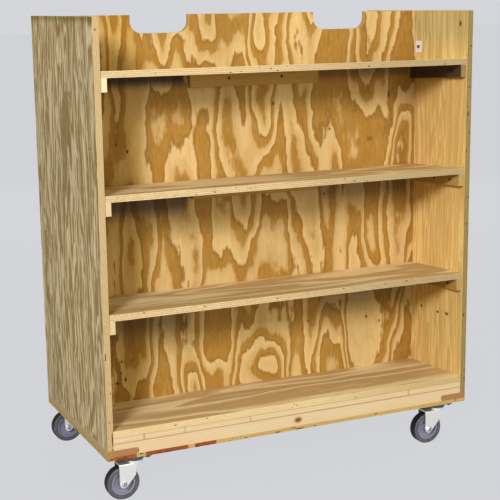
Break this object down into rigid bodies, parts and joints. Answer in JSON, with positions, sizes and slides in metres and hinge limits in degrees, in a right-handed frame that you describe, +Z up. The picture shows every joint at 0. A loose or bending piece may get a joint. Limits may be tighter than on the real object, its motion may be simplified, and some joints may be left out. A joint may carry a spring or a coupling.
{
  "type": "double sided plywood shelf trolley",
  "caption": "Mobile double-sided plywood shelf cart: full-depth side panels, a centre panel with hand holds, shelves that lean inwards, a deck, and swivel casters.",
  "frame": {"origin": "on the floor, under the middle of the cart", "axes": "+X to the right along the width, +Y from the front to the rear, +Z up"},
  "size_m": [1.219, 0.61, 1.378],
  "materials": {
    "plywood": "raw softwood plywood",
    "base_plywood": "raw reddish plywood",
    "pine": "raw planed softwood",
    "black_screw": "black phosphate",
    "zinc": "bright zinc plate",
    "wheel_core": "moulded grey plastic",
    "rubber_tyre": "grey non-marking rubber",
    "paper": "matt white paper label"
  },
  "bodies": {
    "cart": {"left_side_panel": "plywood", "right_side_panel": "plywood", "centre_panel": "plywood", "front_top_shelf": "plywood", "front_middle_shelf": "plywood", "front_lower_shelf": "plywood", "rear_top_shelf": "plywood", "rear_middle_shelf": "plywood", "rear_lower_shelf": "plywood", "front_deck": "plywood", "rear_deck": "plywood", "bottom_panel": "base_plywood", "front_deck_riser": "pine", "rear_deck_riser": "pine", "front_rail": "pine", "rear_rail": "pine", "left_runner": "pine", "right_runner": "pine", "centre_sleeper": "pine", "deck_ledgers": "pine", "front_left_cleats": "pine", "front_right_cleats": "pine", "rear_left_cleats": "pine", "rear_right_cleats": "pine", "front_centre_cleats": "pine", "rear_centre_cleats": "pine", "cleat_screws": "black_screw", "base_screws": "black_screw", "caster_mounting_screws": "zinc", "paper_label": "paper", "kingpins": "zinc", "swivel_balls": "zinc", "front_left_caster_plate": "zinc", "front_right_caster_plate": "zinc", "rear_left_caster_plate": "zinc", "rear_right_caster_plate": "zinc"},
    "front_left_caster_yoke": {"front_left_fork": "zinc", "front_left_axle_bolt": "zinc", "front_left_axle_nut": "zinc", "front_left_axle_sleeve": "zinc"},
    "front_left_caster_wheel": {"front_left_wheel_core": "wheel_core", "front_left_tyre": "rubber_tyre"},
    "front_right_caster_yoke": {"front_right_fork": "zinc", "front_right_axle_bolt": "zinc", "front_right_axle_nut": "zinc", "front_right_axle_sleeve": "zinc"},
    "front_right_caster_wheel": {"front_right_wheel_core": "wheel_core", "front_right_tyre": "rubber_tyre"},
    "rear_left_caster_yoke": {"rear_left_fork": "zinc", "rear_left_axle_bolt": "zinc", "rear_left_axle_nut": "zinc", "rear_left_axle_sleeve": "zinc"},
    "rear_left_caster_wheel": {"rear_left_wheel_core": "wheel_core", "rear_left_tyre": "rubber_tyre"},
    "rear_right_caster_yoke": {"rear_right_fork": "zinc", "rear_right_axle_bolt": "zinc", "rear_right_axle_nut": "zinc", "rear_right_axle_sleeve": "zinc"},
    "rear_right_caster_wheel": {"rear_right_wheel_core": "wheel_core", "rear_right_tyre": "rubber_tyre"}
  },
  "joints": [
    {"name": "front_left_swivel", "type": "hinge", "parent": "cart", "child": "front_left_caster_yoke", "pos_m": [-0.5195, -0.274, 0.1145], "axis": [0, 0, 1], "continuous": true},
    {"name": "front_left_roll", "type": "hinge", "parent": "front_left_caster_yoke", "child": "front_left_caster_wheel", "pos_m": [-0.5595, -0.274, 0.05], "axis": [0, 1, 0], "continuous": true},
    {"name": "front_right_swivel", "type": "hinge", "parent": "cart", "child": "front_right_caster_yoke", "pos_m": [0.5195, -0.274, 0.1145], "axis": [0, 0, 1], "continuous": true},
    {"name": "front_right_roll", "type": "hinge", "parent": "front_right_caster_yoke", "child": "front_right_caster_wheel", "pos_m": [0.4795, -0.274, 0.05], "axis": [0, 1, 0], "continuous": true},
    {"name": "rear_left_swivel", "type": "hinge", "parent": "cart", "child": "rear_left_caster_yoke", "pos_m": [-0.5195, 0.274, 0.1145], "axis": [0, 0, 1], "continuous": true},
    {"name": "rear_left_roll", "type": "hinge", "parent": "rear_left_caster_yoke", "child": "rear_left_caster_wheel", "pos_m": [-0.5595, 0.274, 0.05], "axis": [0, 1, 0], "continuous": true},
    {"name": "rear_right_swivel", "type": "hinge", "parent": "cart", "child": "rear_right_caster_yoke", "pos_m": [0.5195, 0.274, 0.1145], "axis": [0, 0, 1], "continuous": true},
    {"name": "rear_right_roll", "type": "hinge", "parent": "rear_right_caster_yoke", "child": "rear_right_caster_wheel", "pos_m": [0.4795, 0.274, 0.05], "axis": [0, 1, 0], "continuous": true}
  ]
}
